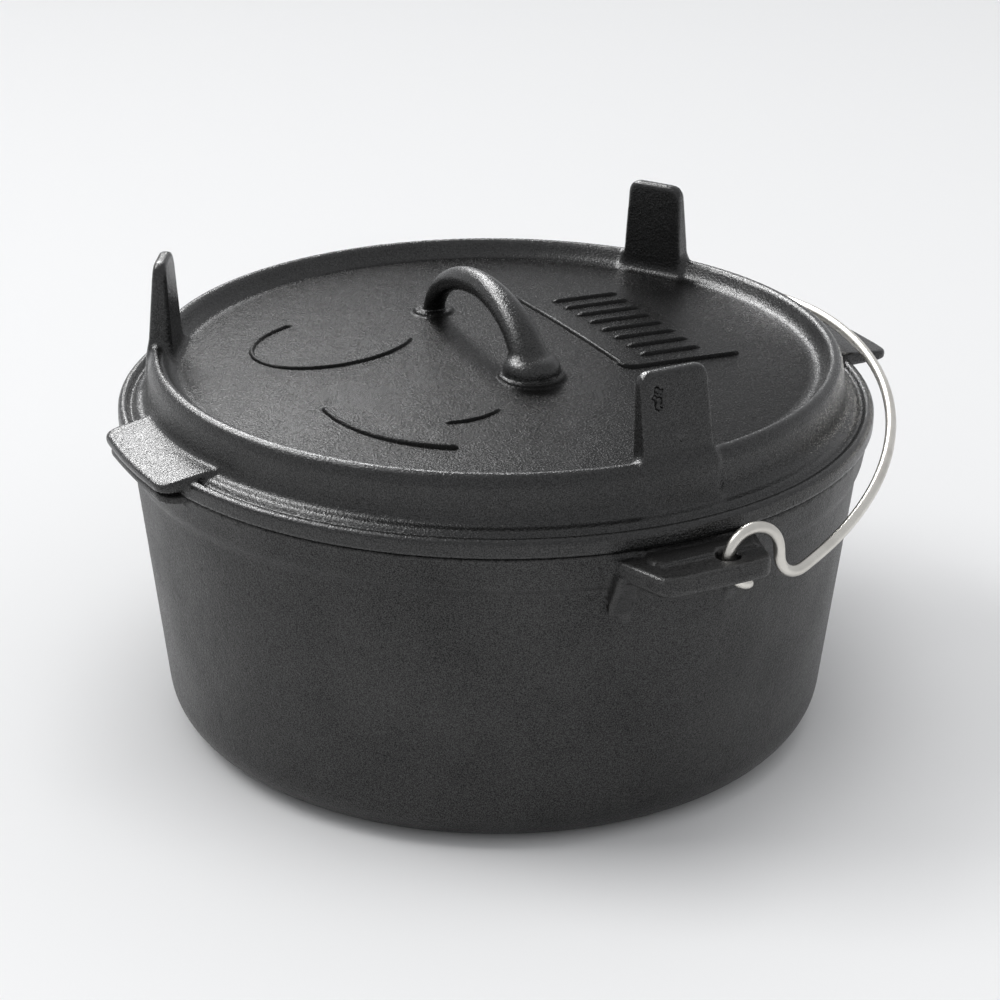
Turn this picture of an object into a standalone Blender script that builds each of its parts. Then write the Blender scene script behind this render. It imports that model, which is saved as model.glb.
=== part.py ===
"""Flat-bottomed cast iron camp dutch oven: pot, lid and swinging wire bail.

Frame: origin at the centre of the pot's base, +Z up, the bail's pivot axis
parallel to Y. The two bail ears are at -Y and +Y, the lid's grip tabs at -X and +X.
"""

import math

import bmesh
import bpy
import numpy as np
from mathutils import Vector

MM = 0.001
SEGMENTS = 96

# Pot casting
RIM_Z = 119.7
BASE_CORNER_R = 125.0
BASE_FILLET = 18.0
COLLAR_Z = 106.0
WALL_TOP_R = 137.2
COLLAR_LOW_R = 138.4
RIM_OUTER_R = 140.8
FLOOR_Z = 5.5
INNER_TOP_R = 133.7
INNER_FLOOR_R = 120.6
INNER_FILLET = 13.0

# Bail ears and the pot's lips under the lid's grip tabs
EAR_TOP_Z = 117.4
EAR_THICK = 7.0
EAR_REACH = 161.0
EAR_OUTER_HALF = 20.6
EAR_ROOT_HALF = 28.7
EAR_ROOT_Y = 135.0
EAR_HOLE_X = 8.3
EAR_HOLE_Y = 152.0
EAR_HOLE_R = 4.0
RIB_X = 23.5
RIB_WIDTH = 9.0
RIB_DROP = 19.0
RIB_DEPTH = 6.0
LIP_REACH = 146.0
LIP_HALF = 27.0
LIP_THICK = 3.2

# Lid casting, heights from the plane where it sits on the rim
SEAT_Z = 120.0
FLANGE_R = 142.0
FLANGE_TOP = 6.6
RIDGE_TOP = 24.9
PLATE_EDGE_R = 118.5
PLATE_EDGE_Z = 18.3
DOME = 5.0
PLATE_THICK = 5.2
LOCATOR_R = 132.8
LOCATOR_DROP = 5.0

# Lid grip tabs
TAB_REACH_LEFT = 149.5
TAB_REACH_RIGHT = 158.5
TAB_CENTRE_Y = -5.0
TAB_HALF = 29.0
TAB_ROOT_X = 127.0
TAB_TOP_ROOT = 10.0
TAB_TOP_TIP = 6.6
TAB_LOW_ROOT = 3.2
TAB_LOW_TIP = 3.4
TAB_CORNER = 6.0

# Lid feet: azimuth, inner radius, half width and height at the top, half width below
FEET = (
    (-88.6, 118.5, 13.2, 55.0, 14.6),
    (30.7, 121.6, 11.6, 56.0, 13.6),
    (150.0, 122.6, 10.0, 56.0, 13.2),
)
FOOT_TOP_THICK = 4.8
FOOT_LOW_IN = 120.0
FOOT_LOW_OUT = 130.8
FOOT_LOW = 12.0
FOOT_CORNER = 3.8

# Lid loop handle, along Y
HANDLE_X = -3.0
HANDLE_CENTRE_Y = 6.5
HANDLE_HALF_SPAN = 41.0
HANDLE_RISE = 25.2
HANDLE_BASE_Z = 20.5
HANDLE_HALF_WIDTH = (7.6, 4.4, 4.4)
HANDLE_HALF_THICK = (5.7, 5.2, 3.4)
BOSS_Y = -34.0
BOSS_R = 10.6
BOSS_HEIGHT = 8.2
BOSS_COLLAR_R = 12.2
FAR_COLLAR_R = 7.6
COLLAR_HEIGHT = 1.3

# Bail wire at rest, heights from the rim seat plane
WIRE_R = 2.0
PIVOT_X = 18.4
PIVOT_DROP = 4.6
HOOK_R = 10.4
HOOK_Y = 152.0
BEND_R = 6.9
BEND_X = 35.7
BEND_DROP = 7.3
BAIL_DEPTH = 127.0
BAIL_HALF = 154.0
BAIL_POWER = 1.86
BAIL_APEX = 13.5


def clear_scene():
    for obj in list(bpy.data.objects):
        bpy.data.objects.remove(obj, do_unlink=True)


def material(name, colour, metallic, roughness):
    mat = bpy.data.materials.new(name)
    mat.use_nodes = True
    shader = mat.node_tree.nodes["Principled BSDF"]
    shader.inputs["Base Color"].default_value = (*colour, 1.0)
    shader.inputs["Metallic"].default_value = metallic
    shader.inputs["Roughness"].default_value = roughness
    return mat


def make_object(name, verts, faces, origin=(0.0, 0.0, 0.0)):
    """A mesh object from millimetre points, with its origin where it is given."""
    shift = np.array(origin)
    mesh = bpy.data.meshes.new(name)
    points = [tuple((np.array(v) - shift) * MM) for v in verts]
    mesh.from_pydata(points, [], faces)
    obj = bpy.data.objects.new(name, mesh)
    obj.location = Vector(origin) * MM
    bpy.context.scene.collection.objects.link(obj)
    bm = bmesh.new()
    bm.from_mesh(mesh)
    bmesh.ops.recalc_face_normals(bm, faces=bm.faces)
    if bm.calc_volume(signed=True) < 0:
        bmesh.ops.reverse_faces(bm, faces=bm.faces)
    bm.to_mesh(mesh)
    bm.free()
    return obj


def revolve(name, profile):
    """A closed body turned about Z from a profile that starts and ends on the axis."""
    verts = []
    rings = []
    for r, z in profile:
        if r < 1e-6:
            rings.append([len(verts)])
            verts.append((0.0, 0.0, z))
            continue
        rings.append(list(range(len(verts), len(verts) + SEGMENTS)))
        for i in range(SEGMENTS):
            a = 2 * math.pi * i / SEGMENTS
            verts.append((r * math.cos(a), r * math.sin(a), z))
    faces = []
    for low, high in zip(rings, rings[1:]):
        for i in range(SEGMENTS):
            j = (i + 1) % SEGMENTS
            if len(low) == 1:
                faces.append((low[0], high[i], high[j]))
            elif len(high) == 1:
                faces.append((low[i], high[0], low[j]))
            else:
                faces.append((low[i], high[i], high[j], low[j]))
    return make_object(name, verts, faces)


def loft(name, sections):
    """A closed body through sections that all have the same number of points."""
    count = len(sections[0])
    verts = [p for section in sections for p in section]
    faces = []
    for s in range(len(sections) - 1):
        for i in range(count):
            j = (i + 1) % count
            a = s * count
            b = a + count
            faces.append((a + i, a + j, b + j, b + i))
    faces.append(tuple(range(count)))
    faces.append(tuple(range(len(verts) - count, len(verts))))
    return make_object(name, verts, faces)


def helper(obj):
    obj.hide_render = True
    obj.display_type = "WIRE"
    return obj


def combine(target, other, operation):
    helper(other)
    modifier = target.modifiers.new(operation.lower() + "_" + other.name, "BOOLEAN")
    modifier.operation = operation
    modifier.solver = "EXACT"
    modifier.object = other


def arc(centre, radius, start, end, steps):
    """Points of an arc, from one angle to another in degrees."""
    points = []
    for a in np.linspace(math.radians(start), math.radians(end), steps):
        points.append((centre[0] + radius * math.cos(a), centre[1] + radius * math.sin(a)))
    return points


def rounded(corners, radii, steps=5):
    """A closed 2-D outline with each corner rounded by its own radius."""
    outline = []
    count = len(corners)
    for i in range(count):
        here = np.array(corners[i], float)
        back = np.array(corners[i - 1], float) - here
        ahead = np.array(corners[(i + 1) % count], float) - here
        back /= np.linalg.norm(back)
        ahead /= np.linalg.norm(ahead)
        if radii[i] <= 0:
            outline.append(tuple(here))
            continue
        half = math.acos(float(np.clip(back @ ahead, -1, 1))) / 2
        middle = (back + ahead) / np.linalg.norm(back + ahead)
        centre = here + middle * radii[i] / math.sin(half)
        first = here + back * radii[i] / math.tan(half) - centre
        last = here + ahead * radii[i] / math.tan(half) - centre
        a0 = math.atan2(first[1], first[0])
        a1 = math.atan2(last[1], last[0])
        turn = (a1 - a0 + math.pi) % (2 * math.pi) - math.pi
        for k in range(steps):
            a = a0 + turn * k / (steps - 1)
            outline.append((centre[0] + radii[i] * math.cos(a), centre[1] + radii[i] * math.sin(a)))
    return outline


def fillet_arc(corner, before, after, radius, steps):
    """The arc that rounds one corner of a profile between two neighbours."""
    here = np.array(corner, float)
    back = np.array(before, float) - here
    ahead = np.array(after, float) - here
    back /= np.linalg.norm(back)
    ahead /= np.linalg.norm(ahead)
    half = math.acos(float(back @ ahead)) / 2
    middle = (back + ahead) / np.linalg.norm(back + ahead)
    centre = here + middle * radius / math.sin(half)
    first = here + back * radius / math.tan(half) - centre
    last = here + ahead * radius / math.tan(half) - centre
    a0 = math.atan2(first[1], first[0])
    a1 = math.atan2(last[1], last[0])
    turn = (a1 - a0 + math.pi) % (2 * math.pi) - math.pi
    points = []
    for k in range(steps):
        a = a0 + turn * k / (steps - 1)
        points.append((centre[0] + radius * math.cos(a), centre[1] + radius * math.sin(a)))
    return points


def pot_profile():
    wall_top = (WALL_TOP_R, COLLAR_Z)
    outer = [(0.0, 0.0)]
    outer += fillet_arc((BASE_CORNER_R, 0.0), (0.0, 0.0), wall_top, BASE_FILLET, 8)
    outer += [wall_top, (COLLAR_LOW_R, COLLAR_Z + 1.3), (RIM_OUTER_R, RIM_Z - 0.8)]
    outer += [(RIM_OUTER_R - 0.7, RIM_Z), (INNER_TOP_R + 0.9, RIM_Z), (INNER_TOP_R, RIM_Z - 0.9)]
    inner_top = (INNER_TOP_R, RIM_Z - 0.9)
    floor_corner = (INNER_FLOOR_R, FLOOR_Z)
    inner = fillet_arc(floor_corner, inner_top, (0.0, FLOOR_Z), INNER_FILLET, 7)
    return outer + inner + [(0.0, FLOOR_Z)]


def plate(name, outline, low, high):
    """A flat plate from a 2-D outline in XY."""
    return loft(name, [[(x, y, low) for x, y in outline], [(x, y, high) for x, y in outline]])


def ear(side):
    """One horizontal bail ear with its hole and the two ribs below it."""
    corners = [(-EAR_ROOT_HALF, EAR_ROOT_Y), (EAR_ROOT_HALF, EAR_ROOT_Y)]
    corners += [(EAR_OUTER_HALF, EAR_REACH), (-EAR_OUTER_HALF, EAR_REACH)]
    outline = rounded(corners, [0, 0, 2.5, 3.5])
    outline = [(x, side * y) for x, y in outline]
    body = plate(f"ear_blank_{side}", outline, EAR_TOP_Z - EAR_THICK, EAR_TOP_Z)
    bar_hole = []
    for i in range(24):
        a = 2 * math.pi * i / 24
        x = EAR_HOLE_X + EAR_HOLE_R * math.cos(a)
        bar_hole.append((x, side * EAR_HOLE_Y + EAR_HOLE_R * math.sin(a)))
    hole = plate(f"ear_hole_{side}", bar_hole, EAR_TOP_Z - EAR_THICK - 3, EAR_TOP_Z + 3)
    return body, hole


def ear_rib(side, x):
    """A small wedge on the wall that carries one end of an ear."""
    top = EAR_TOP_Z - EAR_THICK + 0.8
    sections = []
    for dx in (-RIB_WIDTH / 2, RIB_WIDTH / 2):
        wall = WALL_TOP_R - 5.6
        points = [(wall, top - RIB_DROP - 2), (wall, top)]
        points += [(WALL_TOP_R + RIB_DEPTH, top), (WALL_TOP_R - 3.2, top - RIB_DROP)]
        sections.append([(x + dx, side * y, z) for y, z in points])
    return loft(f"ear_rib_{side}_{round(x)}", sections)


def lip(side):
    """The thin lip on the pot's rim under one of the lid's grip tabs."""
    x0 = INNER_TOP_R + 3.0
    corners = [(x0, -LIP_HALF - 3), (LIP_REACH, -LIP_HALF), (LIP_REACH, LIP_HALF), (x0, LIP_HALF + 3)]
    outline = [(side * x, y) for x, y in rounded(corners, [0, 5, 5, 0])]
    return plate(f"pot_lip_{side}", outline, RIM_Z - LIP_THICK, RIM_Z)


def build_pot(mat):
    pot = revolve("pot", pot_profile())
    for side in (-1, 1):
        body, hole = ear(side)
        combine(pot, body, "UNION")
        for x in (-RIB_X, RIB_X):
            combine(pot, ear_rib(side, x), "UNION")
        combine(pot, lip(side), "UNION")
        combine(pot, hole, "DIFFERENCE")
    pot.data.materials.append(mat)
    return pot


def dome_z(r):
    """Height of the lid plate's top above the seat plane, at radius r."""
    return PLATE_EDGE_Z + DOME * (1 - (r / PLATE_EDGE_R) ** 2)


def lid_profile():
    top = [(r, dome_z(r)) for r in (0.0, 25.0, 45.0, 65.0, 85.0, 102.0)]
    top += [(PLATE_EDGE_R, PLATE_EDGE_Z), (121.0, 18.7), (122.5, 19.8), (123.3, 21.4)]
    top += [(124.0, 23.1), (124.9, 24.2), (126.2, RIDGE_TOP - 0.1), (127.4, RIDGE_TOP)]
    top += [(128.9, 24.2), (129.9, 22.8), (130.3, 20.8), (130.9, 11.2), (131.4, 9.1)]
    top += [(132.6, 7.6), (134.6, 6.9), (139.8, FLANGE_TOP), (140.9, 6.4), (141.7, 5.6)]
    top += [(FLANGE_R, 4.4), (FLANGE_R, 0.5), (FLANGE_R - 0.5, 0.0)]
    low = [(LOCATOR_R, 0.0), (LOCATOR_R, -LOCATOR_DROP + 0.8), (LOCATOR_R - 0.8, -LOCATOR_DROP)]
    low += [(129.0, -LOCATOR_DROP), (128.2, -LOCATOR_DROP + 0.8), (126.4, 3.0), (125.4, 8.0)]
    low += [(123.0, 11.6), (118.0, PLATE_EDGE_Z - PLATE_THICK)]
    low += [(r, dome_z(r) - PLATE_THICK) for r in (85.0, 45.0, 0.0)]
    return [(r, SEAT_Z + z) for r, z in top + low]


def tab(side, reach):
    """One grip tab: its top falls slightly outwards and its underside is flat."""
    corners = [(TAB_ROOT_X, -TAB_HALF - 1), (reach, -TAB_HALF), (reach, TAB_HALF)]
    corners.append((TAB_ROOT_X, TAB_HALF + 1))
    outline = rounded(corners, [0, TAB_CORNER, TAB_CORNER, 0])
    low = []
    high = []
    for x, y in outline:
        share = (x - TAB_ROOT_X) / (reach - TAB_ROOT_X)
        point = (side * x, y + TAB_CENTRE_Y)
        low.append((*point, SEAT_Z + TAB_LOW_ROOT + share * (TAB_LOW_TIP - TAB_LOW_ROOT)))
        high.append((*point, SEAT_Z + TAB_TOP_ROOT + share * (TAB_TOP_TIP - TAB_TOP_ROOT)))
    return loft(f"tab_{side}", [low, high])


def foot(azimuth, top_in, top_half, top, low_half):
    """One tapered foot, standing on the ridge, wide along the rim."""
    corners = [(-low_half, FOOT_LOW), (low_half, FOOT_LOW)]
    corners += [(top_half, top), (-top_half, top)]
    outline = rounded(corners, [0, 0, FOOT_CORNER, FOOT_CORNER])
    ca = math.cos(math.radians(azimuth))
    sa = math.sin(math.radians(azimuth))
    inner = []
    outer = []
    for t, z in outline:
        share = (z - FOOT_LOW) / (top - FOOT_LOW)
        r_in = FOOT_LOW_IN + share * (top_in - FOOT_LOW_IN)
        r_out = FOOT_LOW_OUT + share * (top_in + FOOT_TOP_THICK - FOOT_LOW_OUT)
        inner.append((r_in * ca - t * sa, r_in * sa + t * ca, SEAT_Z + z))
        outer.append((r_out * ca - t * sa, r_out * sa + t * ca, SEAT_Z + z))
    return loft(f"foot_{round(azimuth)}", [inner, outer])


def handle():
    """The loop handle: an oval bar bent into an arch along Y, thicker at its -Y foot."""
    sections = []
    steps = 22
    ends = (0.3, 1.57, 2.84)
    for k in range(steps + 1):
        t = math.pi * k / steps
        y = HANDLE_CENTRE_Y - HANDLE_HALF_SPAN * math.cos(t)
        z = SEAT_Z + HANDLE_BASE_Z + HANDLE_RISE * math.sin(t)
        along = Vector((0.0, HANDLE_HALF_SPAN * math.sin(t), HANDLE_RISE * math.cos(t)))
        along.normalize()
        half_width = float(np.interp(t, ends, HANDLE_HALF_WIDTH))
        half_thick = float(np.interp(t, ends, HANDLE_HALF_THICK))
        ring = []
        for i in range(16):
            a = 2 * math.pi * i / 16
            dx = half_width * math.cos(a)
            dn = half_thick * math.sin(a)
            ring.append((HANDLE_X + dx, y - along.z * dn, z + along.y * dn))
        sections.append(ring)
    return loft("handle_bar", sections)


def round_boss(name, centre_y, outline):
    """A short upright boss under the handle, from (radius, height above the plate) pairs."""
    base = SEAT_Z + dome_z(abs(centre_y))
    sections = []
    for radius, height in outline:
        ring = []
        for i in range(32):
            a = 2 * math.pi * i / 32
            x = HANDLE_X + radius * math.cos(a)
            ring.append((x, centre_y + radius * math.sin(a), base + height))
        sections.append(ring)
    return loft(name, sections)


def handle_bosses():
    """The thick knuckle with its collar at -Y, and the thin collar at +Y."""
    near = [(BOSS_COLLAR_R, -3.0), (BOSS_COLLAR_R, COLLAR_HEIGHT - 0.5)]
    near += [(BOSS_COLLAR_R - 0.8, COLLAR_HEIGHT), (BOSS_R, COLLAR_HEIGHT)]
    near += [(BOSS_R - 0.1, BOSS_HEIGHT - 2.6), (BOSS_R - 1.1, BOSS_HEIGHT - 0.8)]
    near.append((BOSS_R - 3.2, BOSS_HEIGHT))
    far = [(FAR_COLLAR_R, -3.0), (FAR_COLLAR_R, COLLAR_HEIGHT - 0.5)]
    far.append((FAR_COLLAR_R - 0.8, COLLAR_HEIGHT))
    far_y = HANDLE_CENTRE_Y + HANDLE_HALF_SPAN
    return [round_boss("near_boss", BOSS_Y, near), round_boss("far_collar", far_y, far)]


def build_lid(mat):
    lid = revolve("lid", lid_profile())
    for sizes in FEET:
        combine(lid, foot(*sizes), "UNION")
    combine(lid, tab(-1, TAB_REACH_LEFT), "UNION")
    combine(lid, tab(1, TAB_REACH_RIGHT), "UNION")
    combine(lid, handle(), "UNION")
    for boss in handle_bosses():
        combine(lid, boss, "UNION")
    lid.data.materials.append(mat)
    return lid


def bail_half():
    """Centreline of the half from the -Y hook's tip to the middle of the bail."""
    pivot = (PIVOT_X, -PIVOT_DROP)
    path = [(x, -HOOK_Y, z) for x, z in arc(pivot, HOOK_R, 268, 8, 26)]
    bend = arc((BEND_X, -BEND_DROP), BEND_R, 180, 282, 10)
    path += [(x, -HOOK_Y, z) for x, z in bend]
    x0, z0 = bend[-1]
    apex = PIVOT_X + BAIL_DEPTH
    slope = (BAIL_APEX - z0) / (apex - x0)
    start = math.acos(((x0 + 7 - PIVOT_X) / BAIL_DEPTH) ** (BAIL_POWER / 2))
    for t in np.linspace(start, 0.0, 26):
        x = PIVOT_X + BAIL_DEPTH * max(math.cos(t), 0.0) ** (2 / BAIL_POWER)
        y = -BAIL_HALF * max(math.sin(t), 0.0) ** (2 / BAIL_POWER)
        path.append((x, y, z0 + slope * (x - x0)))
    return path


def build_bail(mat):
    half = bail_half()
    other = [(x, -y, z) for x, y, z in reversed(half[:-1])]
    path = [Vector((x, y, SEAT_Z + z)) for x, y, z in half + other]
    sections = []
    side = Vector((0.0, 1.0, 0.0))
    for i, point in enumerate(path):
        ahead = path[min(i + 1, len(path) - 1)] - path[max(i - 1, 0)]
        ahead.normalize()
        side = (side - ahead * side.dot(ahead)).normalized()
        up = ahead.cross(side)
        ring = []
        for k in range(12):
            a = 2 * math.pi * k / 12
            ring.append(tuple(point + WIRE_R * (math.cos(a) * side + math.sin(a) * up)))
        sections.append(ring)
    bail = loft("bail", sections)
    pivot = Vector((PIVOT_X, 0.0, SEAT_Z - PIVOT_DROP)) * MM
    for vertex in bail.data.vertices:
        vertex.co -= pivot
    bail.location = pivot
    bail.data.materials.append(mat)
    return bail


def main():
    clear_scene()
    iron = (0.02, 0.02, 0.021)
    build_pot(material("pot_iron", iron, 0.35, 0.55))
    build_lid(material("lid_iron", iron, 0.35, 0.5))
    build_bail(material("bail_steel", (0.62, 0.61, 0.59), 1.0, 0.28))


main()
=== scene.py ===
"""Looks for the cast iron dutch oven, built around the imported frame.

The two castings are made as smooth signed distance fields in millimetres, in the
row frame, and turned into meshes with surface nets. Smooth unions give them the
fillets of a sand casting.
"""

import math

import bpy
import numpy as np
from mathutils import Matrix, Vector


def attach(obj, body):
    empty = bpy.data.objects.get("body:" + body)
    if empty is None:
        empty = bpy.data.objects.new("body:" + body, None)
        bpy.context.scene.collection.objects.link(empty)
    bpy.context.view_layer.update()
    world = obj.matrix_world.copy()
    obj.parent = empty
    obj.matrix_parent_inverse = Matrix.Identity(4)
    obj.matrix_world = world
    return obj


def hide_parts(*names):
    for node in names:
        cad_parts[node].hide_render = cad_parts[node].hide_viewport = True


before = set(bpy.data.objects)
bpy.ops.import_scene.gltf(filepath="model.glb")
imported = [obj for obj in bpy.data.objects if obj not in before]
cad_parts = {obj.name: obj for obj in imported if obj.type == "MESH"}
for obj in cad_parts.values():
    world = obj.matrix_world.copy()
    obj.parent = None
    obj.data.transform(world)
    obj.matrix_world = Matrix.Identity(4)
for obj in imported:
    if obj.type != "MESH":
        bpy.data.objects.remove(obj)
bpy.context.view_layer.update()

MM = 0.001
FAR = 60.0
LID_STEP = 1.15
POT_STEP = 1.45

# Lid, heights above the seat plane
SEAT = 120.0
PLATE_R = 118.5
PLATE_Z = 18.3
DOME = 5.0
PLATE_THICK = 5.2
FLANGE_R = 142.0
LOCATOR_R = 132.8

# Each foot: azimuth, inner radius, half width and height at the top, half width below
FEET = (
    (-88.6, 118.5, 13.2, 55.0, 14.6),
    (30.7, 121.6, 11.6, 56.0, 13.6),
    (150.0, 122.6, 10.0, 56.0, 13.2),
)
FOOT_CENTRE_R = 124.0
FOOT_LOW = 12.0
FOOT_LOW_IN = 120.0
FOOT_LOW_OUT = 130.8
FOOT_TOP_THICK = 4.8

TAB_REACH_LEFT = 149.5
TAB_REACH_RIGHT = 158.4
TAB_CENTRE_Y = -5.0
TAB_HALF = 29.0
TAB_ROOT_X = 127.0
TAB_TOP_ROOT = 10.0
TAB_FALL = 3.4
TAB_LOW = 3.3

# Loop handle, with half widths and half thicknesses at its -Y foot, crown and +Y foot
HANDLE_X = -3.0
HANDLE_CENTRE_Y = 6.5
HANDLE_HALF_SPAN = 41.0
HANDLE_RISE = 25.2
HANDLE_BASE_Z = 20.5
HANDLE_ENDS = (0.3, 1.57, 2.84)
HANDLE_HALF_WIDTH = (7.6, 4.4, 4.4)
HANDLE_HALF_THICK = (5.7, 5.2, 3.4)
KNUCKLE_Y = -34.0
KNUCKLE_R = 10.7
KNUCKLE_HEIGHT = 8.3
KNUCKLE_COLLAR_R = 12.1
FAR_COLLAR_Y = 47.5
FAR_COLLAR_R = 7.6
COLLAR_HEIGHT = 1.3

# Pits in the -Y foot's outer face: x, height and radius
PITS = (
    (-4.4, 48.9, 1.3), (-3.0, 48.3, 1.1), (-5.3, 46.6, 1.2), (-3.9, 45.4, 1.4),
    (-4.7, 43.4, 1.0), (-3.4, 42.3, 0.9), (4.4, 30.5, 0.8),
)

# Pot
RIM_Z = 119.7
BASE_CORNER_R = 125.0
BASE_FILLET = 18.0
WALL_TOP_R = 137.2
COLLAR_Z = 106.0
INNER_TOP_R = 133.7
INNER_FLOOR_R = 120.6
INNER_FILLET = 13.0
FLOOR_Z = 5.5
EAR_ROOT_Y = 135.0
EAR_REACH = 161.0
EAR_ROOT_HALF = 28.7
EAR_FLANK_NORMAL = (0.9548, 0.2975)
EAR_WALL_Y = 136.4
EAR_TOP_Z = 117.4
EAR_LOW_Z = 110.4
EAR_PAD_X = (-17.5, 27.0)
EAR_PAD_REACH = 150.2
EAR_PAD_Z = (111.0, 118.3)
EAR_HOLE_X = 8.3
EAR_HOLE_Y = 152.0
EAR_HOLE_R = 4.1
RIB_X = 23.5
RIB_HALF = 4.5
RIB_Z = (91.5, 112.0)
LIP_REACH = 146.0
LIP_HALF = 27.0
LIP_LOW_Z = 116.6

# Bail wire at rest, heights above the seat plane
WIRE_R = 2.0
PIVOT_X = 18.4
PIVOT_Z = -4.6
HOOK_R = 10.4
HOOK_Y = 152.0
BEND_X = 35.7
BEND_Z = -7.3
BEND_R = 6.9
BAIL_DEPTH = 127.0
BAIL_HALF = 154.0
BAIL_POWER = 1.86
BAIL_APEX = 13.5

# Raised panel on the plate
PANEL_LEFT = 33.6
PANEL_LOW = -41.0
PANEL_CORNER = 6.0
BAR_COUNT = 8
BAR_FIRST_Y = 37.5
BAR_PITCH = 9.7

# Where the lid's oiled casting takes over from its dull plate, in metres
PLATE_EDGE = (0.117, 0.122)
PLATE_TOP = (0.1437, 0.1452)


# ---------------------------------------------------------------- fields

def smin(a, b, k):
    """The lesser of two fields, blended over a distance k, which makes a fillet."""
    h = np.clip(0.5 + 0.5 * (b - a) / k, 0.0, 1.0)
    return b + (a - b) * h - k * h * (1.0 - h)


def smax(a, b, k):
    return -smin(-a, -b, k)


def smax_all(parts, k):
    total = parts[0]
    for part in parts[1:]:
        total = smax(total, part, k)
    return total


def near(x, y, z, low, high, pad, part):
    """part(x, y, z) close to its box, and a large distance elsewhere."""
    close = (x > low[0] - pad) & (x < high[0] + pad)
    close &= (y > low[1] - pad) & (y < high[1] + pad)
    close &= (z > low[2] - pad) & (z < high[2] + pad)
    out = np.full(x.shape, FAR)
    if close.any():
        out[close] = part(x[close], y[close], z[close])
    return out


def blur(table, sigma):
    """A 2-D table smoothed with a Gaussian, its edges held."""
    reach = int(3 * sigma) + 1
    kernel = np.exp(-0.5 * (np.arange(-reach, reach + 1) / sigma) ** 2)
    kernel /= kernel.sum()
    for axis in (0, 1):
        pads = [(reach, reach) if a == axis else (0, 0) for a in (0, 1)]
        padded = np.pad(table, pads, mode="edge")
        total = np.zeros_like(table)
        for i, weight in enumerate(kernel):
            cut = [slice(None), slice(None)]
            cut[axis] = slice(i, i + table.shape[axis])
            total += weight * padded[tuple(cut)]
        table = total
    return table


def turned(outline, step=0.25, margin=9.0, soften=0.45):
    """A field of revolution from a closed (r, z) outline."""
    points = np.array(outline, float)
    low = points.min(0) - margin
    low[0] = -3.0
    high = points.max(0) + margin
    count = np.ceil((high - low) / step).astype(int) + 1
    axes = [low[k] + step * np.arange(count[k]) for k in (0, 1)]
    r, z = np.meshgrid(*axes, indexing="ij")
    best = np.full(r.shape, 1e9)
    inside = np.zeros(r.shape, bool)
    for (r0, z0), (r1, z1) in zip(points, np.roll(points, -1, axis=0)):
        dr = r1 - r0
        dz = z1 - z0
        share = np.clip(((r - r0) * dr + (z - z0) * dz) / max(dr * dr + dz * dz, 1e-9), 0, 1)
        best = np.minimum(best, (r - r0 - share * dr) ** 2 + (z - z0 - share * dz) ** 2)
        if abs(dz) > 1e-9:
            crosses = (z0 > z) != (z1 > z)
            inside ^= crosses & (r < r0 + dr * (z - z0) / dz)
    table = np.sqrt(best) * np.where(inside, -1.0, 1.0)
    table = blur(table, soften / step)

    def field(x, y, z):
        u = np.clip((np.hypot(x, y) - low[0]) / step, 0, count[0] - 1.001)
        v = np.clip((z - low[1]) / step, 0, count[1] - 1.001)
        i = u.astype(int)
        j = v.astype(int)
        u = u - i
        v = v - j
        a = table[i, j] * (1 - u) + table[i + 1, j] * u
        b = table[i, j + 1] * (1 - u) + table[i + 1, j + 1] * u
        return a * (1 - v) + b * v

    return field


def mesh_from_field(name, field, low, high, step):
    """Surface nets on a grid, then every point is moved onto the exact surface."""
    axes = [np.arange(a, b + step, step) for a, b in zip(low, high)]
    size = [len(a) for a in axes]
    values = np.empty(size)
    for i in range(0, size[0], 16):
        x, y, z = np.meshgrid(axes[0][i:i + 16], axes[1], axes[2], indexing="ij")
        values[i:i + 16] = field(x.ravel(), y.ravel(), z.ravel()).reshape(x.shape)
    inside = values < 0
    cell_shape = [n - 1 for n in size]
    places = []
    cells = []
    for axis in range(3):
        first = [slice(None)] * 3
        second = [slice(None)] * 3
        first[axis] = slice(0, -1)
        second[axis] = slice(1, None)
        changed = inside[tuple(first)] != inside[tuple(second)]
        index = np.argwhere(changed)
        a = values[tuple(first)][changed]
        b = values[tuple(second)][changed]
        place = index.astype(float)
        place[:, axis] += a / (a - b)
        places.append(place)
        u = (axis + 1) % 3
        v = (axis + 2) % 3
        corners = []
        for du, dv in ((0, 0), (1, 0), (1, 1), (0, 1)):
            cell = index.copy()
            cell[:, u] -= du
            cell[:, v] -= dv
            corners.append(np.ravel_multi_index(cell.T, cell_shape))
        quad = np.stack(corners, axis=1)
        quad[a >= 0] = quad[a >= 0][:, ::-1]
        cells.append(quad)
    quads = np.concatenate(cells)
    places = np.concatenate(places)
    used, index = np.unique(quads, return_inverse=True)
    quads = index.reshape(quads.shape)
    count = np.bincount(quads.ravel(), minlength=len(used))
    points = np.empty((len(used), 3))
    for axis in range(3):
        total = np.bincount(quads.ravel(), np.repeat(places[:, axis], 4), minlength=len(used))
        points[:, axis] = axes[axis][0] + step * total / count
    for _ in range(3):
        slope, value, _ = measure(field, points)
        length = np.maximum((slope ** 2).sum(1), 0.05)
        points -= np.clip(value / length, -step, step)[:, None] * slope
    slope, value, bend = measure(field, points)
    normals = slope / np.maximum(np.linalg.norm(slope, axis=1), 1e-6)[:, None]
    mesh = bpy.data.meshes.new(name)
    mesh.from_pydata((points * MM).tolist(), [], quads.tolist())
    mesh.update()
    mesh.shade_smooth()
    mesh.normals_split_custom_set_from_vertices(normals.tolist())
    edge = mesh.attributes.new("edge", "FLOAT", "POINT")
    edge.data.foreach_set("value", np.clip(bend, -1, 1).astype(np.float32))
    obj = bpy.data.objects.new(name, mesh)
    bpy.context.scene.collection.objects.link(obj)
    return obj


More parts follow.
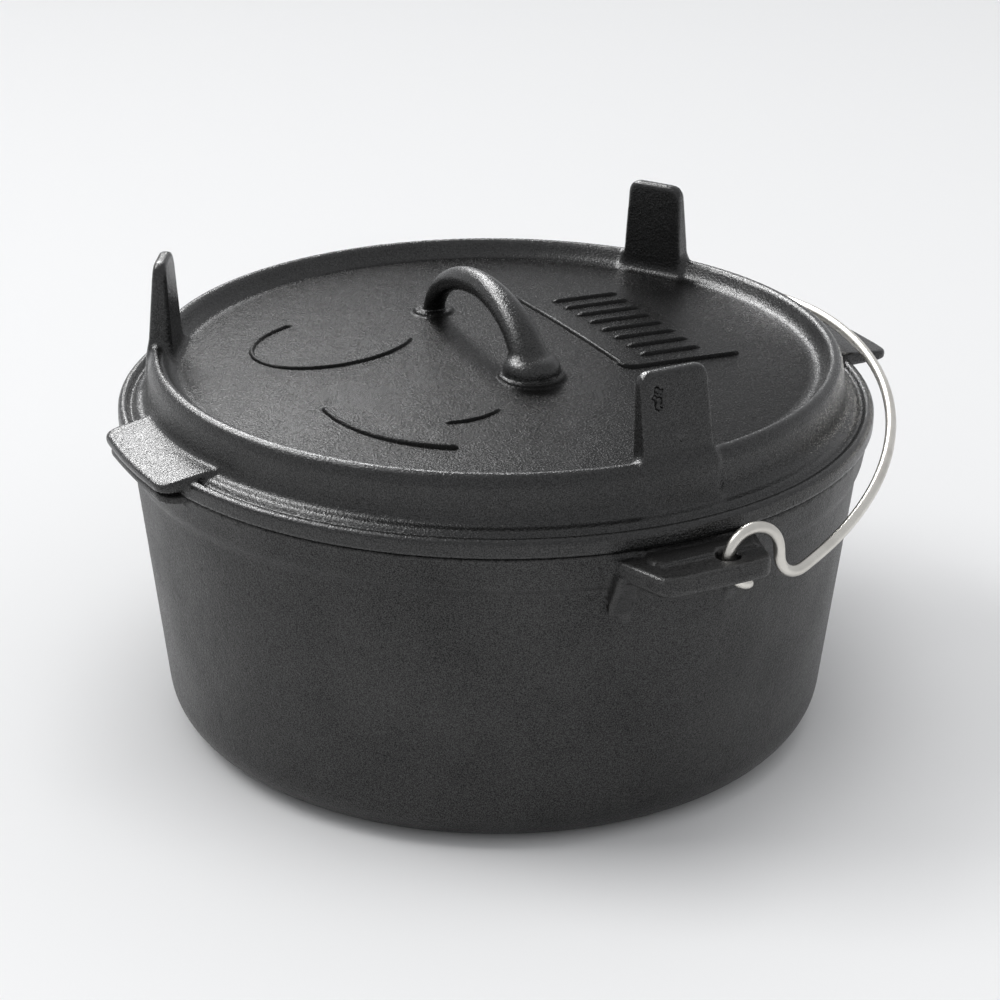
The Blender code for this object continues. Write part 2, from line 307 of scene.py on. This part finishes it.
def measure(field, points, h=0.35):
    """Slope, value and mean bend of a field at points; the bend is above 0 on an edge."""
    value = field(*points.T)
    slope = np.empty_like(points)
    bend = -6 * value
    for axis in range(3):
        shift = np.zeros(3)
        shift[axis] = h
        more = field(*(points + shift).T)
        less = field(*(points - shift).T)
        slope[:, axis] = (more - less) / (2 * h)
        bend += more + less
    return slope, value, bend / (h * h)


# ---------------------------------------------------------------- lid

def dome(r):
    """Height of the plate's domed top above the seat plane."""
    return PLATE_Z + DOME * (1 - (r / PLATE_R) ** 2)


def arc(centre_r, centre_z, radius, start, end, steps):
    """Points on an arc, from one angle in degrees to another."""
    angles = np.radians(np.linspace(start, end, steps))
    return [(centre_r + radius * math.cos(a), centre_z + radius * math.sin(a)) for a in angles]


def lid_outline():
    """The lid's closed profile: plate, ridge, beaded flange, locating ring and underside."""
    top = [(-20.0, dome(0))] + [(r, dome(r)) for r in np.linspace(0, 117.0, 14)]
    top += [(119.6, 18.5), (121.3, 19.2), (122.6, 20.6)]
    top += arc(126.6, 22.3, 2.7, 165, 20, 9)
    top += [(130.1, 20.6), (130.9, 11.4), (131.4, 9.4), (132.4, 8.0)]
    top += [(133.6, 7.6), (134.9, 7.4), (135.9, 6.4), (136.7, 5.2), (137.5, 5.1), (138.3, 6.1)]
    top += arc(139.9, 4.9, 2.1, 125, 0, 7)
    low = [(FLANGE_R, 0.7), (FLANGE_R - 0.7, 0.0), (LOCATOR_R, 0.0), (LOCATOR_R, -4.2)]
    low += [(LOCATOR_R - 0.8, -5.0)]
    low += [(129.0, -5.0), (128.2, -4.2), (126.4, 3.0), (125.4, 8.0), (123.0, 11.6), (118.0, 13.1)]
    low += [(r, dome(r) - PLATE_THICK) for r in (85.0, 45.0, 0.0)]
    low.append((-20.0, dome(0) - PLATE_THICK))
    return [(r, SEAT + z) for r, z in top + low]


def foot_field(azimuth, top_in, top_half, top, low_half):
    """One tapered foot on the ridge, with rounded top corners."""
    ca = math.cos(math.radians(azimuth))
    sa = math.sin(math.radians(azimuth))

    def part(x, y, z):
        along = -sa * x + ca * y
        out = ca * x + sa * y
        share = (z - SEAT - FOOT_LOW) / (top - FOOT_LOW)
        inner = FOOT_LOW_IN + share * (top_in - FOOT_LOW_IN)
        outer = FOOT_LOW_OUT + share * (top_in + FOOT_TOP_THICK - FOOT_LOW_OUT)
        half = low_half + share * (top_half - low_half)
        sides = smax(np.abs(along) - half, z - SEAT - top, 5.0)
        faces = smax(inner - out, out - outer, 1.0)
        return smax_all([sides, faces, SEAT + 9.0 - z], 1.9)

    centre = (FOOT_CENTRE_R * ca, FOOT_CENTRE_R * sa)
    low = (centre[0] - 17, centre[1] - 17, SEAT + 9)
    high = (centre[0] + 17, centre[1] + 17, SEAT + top)
    return lambda x, y, z: near(x, y, z, low, high, 9.0, part)


def tab_field(side, reach):
    """One grip tab, whose top falls outwards."""
    def part(x, y, z):
        out = side * x
        across = y - TAB_CENTRE_Y
        share = (out - TAB_ROOT_X) / (reach - TAB_ROOT_X)
        top = SEAT + TAB_TOP_ROOT - TAB_FALL * share
        rim = reach - across ** 2 / 480.0
        outline = smax(out - rim, np.abs(across) - TAB_HALF - (1 - share), 5.5)
        outline = smax(outline, TAB_ROOT_X - 1.0 - out, 0.6)
        return smax(outline, smax(z - top, SEAT + TAB_LOW - z, 0.8), 1.5)

    edge = sorted((side * 124.0, side * reach))
    low = (edge[0], -37.0, SEAT + 3)
    high = (edge[1], 27.0, SEAT + 10)
    return lambda x, y, z: near(x, y, z, low, high, 8.0, part)


def boss(x, y, z, centre_y, radius, height, soften):
    """A short upright boss on the plate under the handle."""
    base = SEAT + dome(abs(centre_y))
    body = smax(np.hypot(x, y - centre_y) - radius, z - base - height, soften)
    return smax(body, base - 5.0 - z, 0.5)


def handle_field():
    """An oval bar bent into an arch, with a knuckle at -Y and a collar round each foot."""
    t = np.linspace(0.0, math.pi, 57)
    arch_y = HANDLE_CENTRE_Y - HANDLE_HALF_SPAN * np.cos(t)
    arch_z = SEAT + HANDLE_BASE_Z + HANDLE_RISE * np.sin(t)
    line = np.stack([arch_y, arch_z], axis=1)
    wide = np.interp(t, HANDLE_ENDS, HANDLE_HALF_WIDTH)
    thick = np.interp(t, HANDLE_ENDS, HANDLE_HALF_THICK)

    def part(x, y, z):
        x = x - HANDLE_X
        best = np.full(x.shape, 1e9)
        found = np.zeros(x.shape)
        for i in range(len(line) - 1):
            step = line[i + 1] - line[i]
            dy = y - line[i, 0]
            dz = z - line[i, 1]
            share = np.clip((dy * step[0] + dz * step[1]) / (step @ step), 0, 1)
            gap = (dy - share * step[0]) ** 2 + (dz - share * step[1]) ** 2
            better = gap < best
            best[better] = gap[better]
            found[better] = i + share[better]
        index = np.arange(len(line))
        a = np.interp(found, index, wide)
        b = np.interp(found, index, thick)
        ratio = np.sqrt((x / a) ** 2 + best / (b * b))
        bar = (ratio - 1) * np.minimum(a, b)
        knuckle = boss(x, y, z, KNUCKLE_Y, KNUCKLE_R, KNUCKLE_HEIGHT, 6.5)
        near_collar = boss(x, y, z, KNUCKLE_Y, KNUCKLE_COLLAR_R, COLLAR_HEIGHT, 0.8)
        far_collar = boss(x, y, z, FAR_COLLAR_Y, FAR_COLLAR_R, COLLAR_HEIGHT, 0.8)
        bar = smin(bar, knuckle, 1.6)
        bar = smin(bar, near_collar, 0.8)
        return smin(bar, far_collar, 0.8)

    low = (-16.0, -47.0, SEAT + 16)
    high = (10.0, 56.0, SEAT + 52)
    return lambda x, y, z: near(x, y, z, low, high, 8.0, part)


def lid_field():
    body = turned(lid_outline())
    feet = [foot_field(*sizes) for sizes in FEET]
    tabs = [tab_field(-1, TAB_REACH_LEFT), tab_field(1, TAB_REACH_RIGHT)]
    handle = handle_field()
    pit_foot_in = FEET[0][1]
    pit_foot_top = FEET[0][3]

    def field(x, y, z):
        d = body(x, y, z)
        for tab in tabs:
            d = smin(d, tab(x, y, z), 1.6)
        for foot in feet:
            d = smin(d, foot(x, y, z), 3.6)
        d = smin(d, handle(x, y, z), 1.2)
        for px, pz, radius in PITS:
            share = (pz - FOOT_LOW) / (pit_foot_top - FOOT_LOW)
            face = -(FOOT_LOW_OUT + share * (pit_foot_in + FOOT_TOP_THICK - FOOT_LOW_OUT))
            ball = np.sqrt((x - px) ** 2 + (y - face) ** 2 + (z - SEAT - pz) ** 2) - radius
            d = smax(d, -ball, 0.4)
        return d

    return field


# ---------------------------------------------------------------- pot

def pot_outline():
    """The pot's closed profile: base, wall, flared collar, rim and inside."""
    wall = math.atan2(WALL_TOP_R - BASE_CORNER_R, COLLAR_Z)
    centre_r = BASE_CORNER_R - BASE_FILLET / math.tan((math.pi / 2 + wall) / 2)
    outer = [(-20.0, 0.0)]
    outer += arc(centre_r, BASE_FILLET, BASE_FILLET, -90, -math.degrees(wall), 12)
    outer += [(137.0, 104.6), (137.35, 105.6), (138.3, 106.9), (139.0, 109.0), (140.5, 118.0)]
    outer += [(140.8, RIM_Z - 0.6), (140.3, RIM_Z), (INNER_TOP_R + 0.7, RIM_Z)]
    outer.append((INNER_TOP_R, RIM_Z - 0.7))
    lean = math.atan2(INNER_TOP_R - INNER_FLOOR_R, 113.3)
    inner_r = INNER_FLOOR_R - INNER_FILLET / math.tan((math.pi / 2 + lean) / 2)
    inner = arc(inner_r, FLOOR_Z + INNER_FILLET, INNER_FILLET, -math.degrees(lean), -90, 9)
    return outer + inner + [(-20.0, FLOOR_Z)]


def ear_field(side):
    """A bail ear with its raised pad, its two ribs and its hole."""
    def part(x, y, z):
        out = side * y
        flank = (np.abs(x) - EAR_ROOT_HALF) * EAR_FLANK_NORMAL[0]
        flank += (out - EAR_ROOT_Y) * EAR_FLANK_NORMAL[1]
        front = out - EAR_REACH + x ** 2 / 620.0
        outline = smax(flank, front, 3.4)
        outline = smax(outline, EAR_WALL_Y - out, 0.5)
        plate = smax(outline, smax(z - EAR_TOP_Z, EAR_LOW_Z - z, 1.0), 1.7)
        pad_sides = smax(EAR_PAD_X[0] - x, x - EAR_PAD_X[1], 2.0)
        pad_ends = smax(out - EAR_PAD_REACH, EAR_WALL_Y - out, 0.5)
        pad_faces = smax(z - EAR_PAD_Z[1], EAR_PAD_Z[0] - z, 0.5)
        pad = smax(pad_sides, pad_ends, 3.0)
        pad = smax(smax(pad, outline + 2.5, 0.5), pad_faces, 1.0)
        body = smin(plate, pad, 0.5)
        for rib_x in (-RIB_X, RIB_X):
            flat = np.abs(x - rib_x) - RIB_HALF
            depth = WALL_TOP_R + 6.0 - (111.2 - z) * (9.2 / 19.0)
            rib_ends = smax(z - RIB_Z[1], RIB_Z[0] - z, 1.0)
            rib = smax(smax(flat, out - depth, 1.5), rib_ends, 1.5)
            rib = smax(rib, 134.8 - out, 0.5)
            body = smin(body, rib, 1.5)
        hole = np.hypot(x - EAR_HOLE_X, out - EAR_HOLE_Y) - EAR_HOLE_R
        return smax(body, -hole, 0.9)

    edge = sorted((side * 132.0, side * EAR_REACH))
    low = (-29.0, edge[0], 91.0)
    high = (29.0, edge[1], 119.0)
    return lambda x, y, z: near(x, y, z, low, high, 7.0, part)


def lip_field(side):
    """The thin lip on the pot's rim under a grip tab."""
    def part(x, y, z):
        out = side * x
        rim = LIP_REACH - y ** 2 / 700.0
        outline = smax(out - rim, np.abs(y) - LIP_HALF - (LIP_REACH - out) * 0.3, 5.0)
        outline = smax(outline, 137.0 - out, 0.5)
        return smax(outline, smax(z - RIM_Z, LIP_LOW_Z - z, 0.6), 1.2)

    edge = sorted((side * 135.0, side * LIP_REACH))
    low = (edge[0], -32.0, 116.0)
    high = (edge[1], 32.0, 120.0)
    return lambda x, y, z: near(x, y, z, low, high, 6.0, part)


def hole_shaft(x, y, z):
    """Both ears' holes, cut through whatever the blends leave in them."""
    shaft = np.hypot(x - EAR_HOLE_X, np.abs(y) - EAR_HOLE_Y) - EAR_HOLE_R
    return np.maximum(shaft, np.abs(z - 114.0) - 9.0)


def pot_field():
    body = turned(pot_outline())
    extras = [ear_field(-1), ear_field(1), lip_field(-1), lip_field(1)]

    def field(x, y, z):
        d = body(x, y, z)
        for extra in extras:
            d = smin(d, extra(x, y, z), 2.0)
        return np.maximum(d, -hole_shaft(x, y, z))

    return field


# ---------------------------------------------------------------- swept pieces

def sweep(name, rings):
    """A body through rings of points in millimetres, capped at both ends."""
    count = len(rings[0])
    points = [tuple(c * MM for c in p) for ring in rings for p in ring]
    faces = []
    for s in range(len(rings) - 1):
        a = s * count
        b = a + count
        for i in range(count):
            j = (i + 1) % count
            faces.append((a + i, a + j, b + j, b + i))
    faces.append(tuple(range(count))[::-1])
    faces.append(tuple(range(len(points) - count, len(points))))
    mesh = bpy.data.meshes.new(name)
    mesh.from_pydata(points, [], faces)
    mesh.update()
    mesh.shade_smooth()
    obj = bpy.data.objects.new(name, mesh)
    bpy.context.scene.collection.objects.link(obj)
    return obj


def raised_line(name, path, width, height):
    """A low rounded rib that follows the lid's dome along a path of (x, y)."""
    path = np.array(path, float)
    count = len(path)
    section = [(-1.0, -0.5), (-0.86, 0.10), (-0.62, 0.55), (-0.38, 0.93), (0.0, 1.0)]
    section += [(0.38, 0.93), (0.62, 0.55), (0.86, 0.10), (1.0, -0.5)]
    rings = []
    for i in range(count):
        ahead = path[min(i + 1, count - 1)] - path[max(i - 1, 0)]
        ahead /= np.linalg.norm(ahead)
        across = np.array((ahead[1], -ahead[0]))
        reach = np.linalg.norm(path[i] - path[0 if i < count / 2 else -1])
        taper = math.sqrt(min(1.0, (reach + 0.15) / (1.3 * width)))
        ring = []
        for w, h in section:
            x, y = path[i] + across * w * width * (0.4 + 0.6 * taper)
            lift = height * h * taper if h > 0 else -0.7
            ring.append((x, y, SEAT + dome(math.hypot(x, y)) + lift))
        rings.append(ring)
    return sweep(name, rings)


def ellipse_arc(cx, cy, a, b, turn, start, end, steps):
    """Points on part of an ellipse that is turned by an angle in degrees."""
    points = []
    ct = math.cos(math.radians(turn))
    st = math.sin(math.radians(turn))
    for angle in np.radians(np.linspace(start, end, steps)):
        u = a * math.cos(angle)
        v = b * math.sin(angle)
        points.append((cx + u * ct - v * st, cy + u * st + v * ct))
    return points


def lid_decoration():
    """A panel with an open border and plain bars, and three plain curved ribs."""
    corner = np.radians(np.linspace(10, 80, 6))
    turn_x = PANEL_LEFT - 1.0 + PANEL_CORNER
    turn_y = PANEL_LOW + PANEL_CORNER
    border = [(PANEL_LEFT, y) for y in np.linspace(46, turn_y, 28)]
    for a in corner:
        border.append((turn_x - PANEL_CORNER * math.cos(a), turn_y - PANEL_CORNER * math.sin(a)))
    border += [(x, PANEL_LOW) for x in np.linspace(40, 79, 13)]
    border += [(81.0, PANEL_LOW + 0.6), (82.0, PANEL_LOW + 2.5)]
    made = [raised_line("lid_panel_border", border, 1.3, 1.15)]
    for i in range(BAR_COUNT):
        y = BAR_FIRST_Y - BAR_PITCH * i
        bar = [(x, y + 0.02 * (x - 45)) for x in np.linspace(44.5, 74.0 - 0.4 * i, 25)]
        made.append(raised_line(f"lid_panel_bar_{i + 1}", bar, 2.1, 1.1))
    loop = ellipse_arc(-51, 36, 33, 26, 12, 92, 314, 60)
    long_arc = ellipse_arc(-20, -29, 62, 58, 0, 175, 236, 40)
    short_arc = ellipse_arc(-40, -10, 33, 49, 0, 253, 292, 24)
    made.append(raised_line("lid_loop", loop, 1.15, 1.0))
    made.append(raised_line("lid_arc_long", long_arc, 1.4, 1.25))
    made.append(raised_line("lid_arc_short", short_arc, 1.15, 0.9))
    return made


def bail_path():
    """Centreline of the bail from the -Y hook's tip to the +Y hook's tip."""
    half = [(x, -HOOK_Y, z) for x, z in arc(PIVOT_X, PIVOT_Z, HOOK_R, 268, 8, 60)]
    bend = arc(BEND_X, BEND_Z, BEND_R, 180, 282, 26)
    half += [(x, -HOOK_Y, z) for x, z in bend]
    x0, z0 = bend[-1]
    slope = (BAIL_APEX - z0) / (PIVOT_X + BAIL_DEPTH - x0)
    start = math.acos(((x0 + 7 - PIVOT_X) / BAIL_DEPTH) ** (BAIL_POWER / 2))
    for t in np.linspace(start, 0.0, 120):
        x = PIVOT_X + BAIL_DEPTH * max(math.cos(t), 0.0) ** (2 / BAIL_POWER)
        y = -BAIL_HALF * max(math.sin(t), 0.0) ** (2 / BAIL_POWER)
        half.append((x, y, z0 + slope * (x - x0)))
    whole = half + [(x, -y, z) for x, y, z in reversed(half[:-1])]
    points = np.array(whole, float)
    gaps = np.linalg.norm(np.diff(points, axis=0), axis=1)
    length = np.concatenate([[0], np.cumsum(gaps)])
    even = np.linspace(0, length[-1], int(length[-1] / 1.2))
    points = np.stack([np.interp(even, length, points[:, k]) for k in range(3)], axis=1)
    for _ in range(6):
        points[1:-1] = 0.25 * points[:-2] + 0.5 * points[1:-1] + 0.25 * points[2:]
    points[:, 2] += SEAT
    return points


def build_bail():
    """The bail's round wire, with its two tips rounded off."""
    path = bail_path()
    side = np.array((0.0, 1.0, 0.0))
    rings = []
    count = len(path)
    for i, point in enumerate(path):
        ahead = path[min(i + 1, count - 1)] - path[max(i - 1, 0)]
        ahead /= np.linalg.norm(ahead)
        side = side - ahead * (side @ ahead)
        side /= np.linalg.norm(side)
        up = np.cross(ahead, side)
        end = min(i, count - 1 - i)
        size = WIRE_R * (0.62, 0.9, 1.0)[min(end, 2)]
        ring = []
        for a in np.linspace(0, 2 * math.pi, 20, endpoint=False):
            ring.append(tuple(point + size * (math.cos(a) * side + math.sin(a) * up)))
        rings.append(ring)
    return sweep("bail_wire", rings)


# ---------------------------------------------------------------- materials

def node(tree, kind, **inputs):
    """A new node with its inputs set by name."""
    made = tree.nodes.new(kind)
    for key, value in inputs.items():
        made.inputs[key.replace("_", " ")].default_value = value
    return made


def noise(tree, coords, scale, detail, roughness=0.55):
    made = node(tree, "ShaderNodeTexNoise", Scale=scale, Detail=detail, Roughness=roughness)
    tree.links.new(coords, made.inputs["Vector"])
    return made.outputs["Fac"]


def remap(tree, value, low, high, to_low, to_high):
    """A value moved from the range low..high to to_low..to_high, and clamped."""
    made = tree.nodes.new("ShaderNodeMapRange")
    made.inputs["From Min"].default_value = low
    made.inputs["From Max"].default_value = high
    made.inputs["To Min"].default_value = to_low
    made.inputs["To Max"].default_value = to_high
    tree.links.new(value, made.inputs["Value"])
    return made.outputs["Result"]


def combine(tree, operation, a, b):
    """A maths node on two inputs, each a socket or a number."""
    made = tree.nodes.new("ShaderNodeMath")
    made.operation = operation
    for socket, value in zip(made.inputs, (a, b)):
        if isinstance(value, (int, float)):
            socket.default_value = value
        else:
            tree.links.new(value, socket)
    return made.outputs[0]


def iron(name, grain, depth, roughness, tones, speckle, shine, plate_shine=None):
    """Seasoned cast iron: pebbled grain, blotchy oil, and convex edges a little brighter, partly as
    wear and partly as a painted highlight.

    With plate_shine, the lid's plate is duller than the handle, feet, ridge and flange.
    """
    low_rough, high_rough = roughness
    dark, light = tones
    mat = bpy.data.materials.new(name)
    mat.use_nodes = True
    tree = mat.node_tree
    shader = tree.nodes["Principled BSDF"]
    coords = tree.nodes.new("ShaderNodeTexCoord").outputs["Object"]
    pebbles = noise(tree, coords, 1000 / grain, 2.0, 0.5)
    specks = noise(tree, coords, 1000 / (0.42 * grain), 1.0, 0.5)
    lumps = noise(tree, coords, 150.0, 2.0)
    blotches = noise(tree, coords, 22.0, 4.0, 0.6)
    edge = tree.nodes.new("ShaderNodeAttribute")
    edge.attribute_name = "edge"
    # Convex edges: real wear, and a lighter tone that is a painted highlight
    edge_wear_and_highlight = remap(tree, edge.outputs["Fac"], 0.12, 0.6, 0.0, 1.0)

    height = combine(tree, "ADD", pebbles, combine(tree, "MULTIPLY", specks, 0.4))
    height = combine(tree, "ADD", height, combine(tree, "MULTIPLY", lumps, 0.9))
    bump = tree.nodes.new("ShaderNodeBump")
    bump.inputs["Strength"].default_value = 1.0
    bump.inputs["Distance"].default_value = depth * MM
    tree.links.new(height, bump.inputs["Height"])
    tree.links.new(bump.outputs["Normal"], shader.inputs["Normal"])

    oil = remap(tree, blotches, 0.3, 0.7, 0.0, 0.5)
    shade = combine(tree, "ADD", oil, remap(tree, specks, 0.35, 0.65, 0.0, 0.5))
    # Painted highlight: convex edges are lightened in the base colour, together with edge wear
    shade = combine(tree, "ADD", shade, combine(tree, "MULTIPLY", edge_wear_and_highlight, 0.5))
    ramp = tree.nodes.new("ShaderNodeValToRGB")
    ramp.color_ramp.elements[0].position = 0.1
    ramp.color_ramp.elements[0].color = (dark, dark, dark, 1)
    ramp.color_ramp.elements[1].position = 1.0
    ramp.color_ramp.elements[1].color = (light, 0.985 * light, 0.96 * light, 1)
    tree.links.new(shade, ramp.inputs["Fac"])
    tree.links.new(ramp.outputs["Color"], shader.inputs["Base Color"])

    rough = remap(tree, blotches, 0.3, 0.7, high_rough, low_rough)
    rough = combine(tree, "ADD", rough, remap(tree, pebbles, 0.3, 0.7, 0.06, -0.06))
    rough = combine(tree, "SUBTRACT", rough, combine(tree, "MULTIPLY", edge_wear_and_highlight, 0.08))
    tree.links.new(rough, shader.inputs["Roughness"])
    glint = remap(tree, specks, 0.36, 0.64, 1.0 - speckle, 1.0 + speckle)
    if plate_shine is None:
        tree.links.new(combine(tree, "MULTIPLY", glint, shine), shader.inputs["Specular IOR Level"])
        return mat
    split = tree.nodes.new("ShaderNodeSeparateXYZ")
    tree.links.new(coords, split.inputs[0])
    square_x = combine(tree, "MULTIPLY", split.outputs[0], split.outputs[0])
    square_y = combine(tree, "MULTIPLY", split.outputs[1], split.outputs[1])
    from_axis = combine(tree, "SQRT", combine(tree, "ADD", square_x, square_y), 0.0)
    outside = remap(tree, from_axis, *PLATE_EDGE, 0.0, 1.0)
    above = remap(tree, split.outputs[2], *PLATE_TOP, 0.0, 1.0)
    worn = combine(tree, "MAXIMUM", outside, above)
    level = remap(tree, worn, 0.0, 1.0, plate_shine, shine)
    tree.links.new(combine(tree, "MULTIPLY", glint, level), shader.inputs["Specular IOR Level"])
    return mat


def steel(name):
    """Bright drawn wire with a fine grain and a dull film."""
    mat = bpy.data.materials.new(name)
    mat.use_nodes = True
    tree = mat.node_tree
    shader = tree.nodes["Principled BSDF"]
    coords = tree.nodes.new("ShaderNodeTexCoord").outputs["Object"]
    film = noise(tree, coords, 60.0, 4.0, 0.6)
    fine = noise(tree, coords, 2500.0, 2.0)
    ramp = tree.nodes.new("ShaderNodeValToRGB")
    ramp.color_ramp.elements[0].position = 0.3
    ramp.color_ramp.elements[0].color = (0.58, 0.56, 0.52, 1)
    ramp.color_ramp.elements[1].position = 0.7
    ramp.color_ramp.elements[1].color = (0.78, 0.76, 0.71, 1)
    tree.links.new(film, ramp.inputs["Fac"])
    tree.links.new(ramp.outputs["Color"], shader.inputs["Base Color"])
    rough = remap(tree, film, 0.3, 0.7, 0.36, 0.26)
    rough = combine(tree, "ADD", rough, remap(tree, fine, 0.3, 0.7, -0.04, 0.05))
    tree.links.new(rough, shader.inputs["Roughness"])
    bump = tree.nodes.new("ShaderNodeBump")
    bump.inputs["Strength"].default_value = 0.5
    bump.inputs["Distance"].default_value = 0.03 * MM
    tree.links.new(fine, bump.inputs["Height"])
    tree.links.new(bump.outputs["Normal"], shader.inputs["Normal"])
    shader.inputs["Metallic"].default_value = 1.0
    return mat


def plain(name, colour, roughness):
    mat = bpy.data.materials.new(name)
    mat.use_nodes = True
    shader = mat.node_tree.nodes["Principled BSDF"]
    shader.inputs["Base Color"].default_value = (*colour, 1)
    shader.inputs["Roughness"].default_value = roughness
    return mat


# ---------------------------------------------------------------- the scene

def add_floor():
    mesh = bpy.data.meshes.new("floor")
    far = 9.0
    level = -0.0001
    corners = [(x * far, y * far, level) for x, y in ((-1, -1), (1, -1), (1, 1), (-1, 1))]
    mesh.from_pydata(corners, [], [(0, 1, 2, 3)])
    floor = bpy.data.objects.new("floor", mesh)
    bpy.context.scene.collection.objects.link(floor)
    white = plain("floor_white", (0.86, 0.86, 0.86), 1.0)
    white.node_tree.nodes["Principled BSDF"].inputs["Specular IOR Level"].default_value = 0.0
    mesh.materials.append(white)


def add_light(name, azimuth, elevation, distance, size, power, use=None):
    """An area light that looks at the lid; its use is None for all, "shine" or "fill"."""
    a = math.radians(azimuth)
    e = math.radians(elevation)
    back = Vector((math.sin(a) * math.cos(e), -math.cos(a) * math.cos(e), math.sin(e)))
    data = bpy.data.lights.new(name, "AREA")
    data.shape = "RECTANGLE"
    data.size, data.size_y = size
    data.energy = power
    light = bpy.data.objects.new(name, data)
    light.location = Vector((0, 0, 0.1)) + back * distance
    light.rotation_euler = (-back).to_track_quat("-Z", "Y").to_euler()
    light.visible_diffuse = use != "shine"
    light.visible_glossy = use != "fill"
    bpy.context.scene.collection.objects.link(light)


def add_world():
    world = bpy.data.worlds.new("studio")
    bpy.context.scene.world = world
    world.use_nodes = True
    background = world.node_tree.nodes["Background"]
    background.inputs["Color"].default_value = (0.97, 0.98, 1.0, 1)
    background.inputs["Strength"].default_value = 0.66


def add_camera():
    data = bpy.data.cameras.new("camera")
    data.lens = 94.2588
    data.sensor_width = 36.0
    data.shift_x = 0.004066
    data.shift_y = -0.09669
    camera = bpy.data.objects.new("camera", data)
    camera.location = (-0.42868, -0.81999, 0.483)
    camera.rotation_euler = [math.radians(a) for a in (68.5788, -0.3605, -27.4586)]
    bpy.context.scene.collection.objects.link(camera)
    bpy.context.scene.camera = camera


def finish_piece(piece, material, body, stands_for=None):
    """Gives a piece its material and body, and hides the node it stands for, if any."""
    piece.data.materials.append(material)
    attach(piece, body)
    if stands_for:
        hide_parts(stands_for)


def main():
    lid_iron = iron(
        "seasoned_iron_lid", 0.8, 0.2, (0.22, 0.32), (0.0004, 0.006), 0.45, 0.6, plate_shine=0.11
    )
    pot_iron = iron("seasoned_iron_pot", 0.9, 0.2, (0.33, 0.45), (0.0, 0.024), 0.55, 0.45)
    wire = steel("bright_wire")
    lid_box = ((-152, -145, 113), (160, 145, 178.5))
    lid = mesh_from_field("lid_casting", lid_field(), *lid_box, LID_STEP)
    finish_piece(lid, lid_iron, "lid", "lid")
    for piece in lid_decoration():
        finish_piece(piece, lid_iron, "lid")
    pot_box = ((-149, -164, -2), (149, 164, 122))
    pot = mesh_from_field("pot_casting", pot_field(), *pot_box, POT_STEP)
    finish_piece(pot, pot_iron, "pot", "pot")
    finish_piece(build_bail(), wire, "bail", "bail")
    add_floor()
    add_world()
    add_light("key", -118, 52, 3.0, (1.4, 1.4), 30)
    add_light("back", 170, 37, 3.0, (1.0, 0.7), 55, use="shine")
    add_light("back_left", -152, 46, 3.0, (0.8, 0.8), 60, use="shine")
    add_light("top", 0, 88, 2.6, (1.4, 1.4), 17, use="fill")
    add_camera()
    bpy.context.scene.view_settings.view_transform = "Standard"


main()
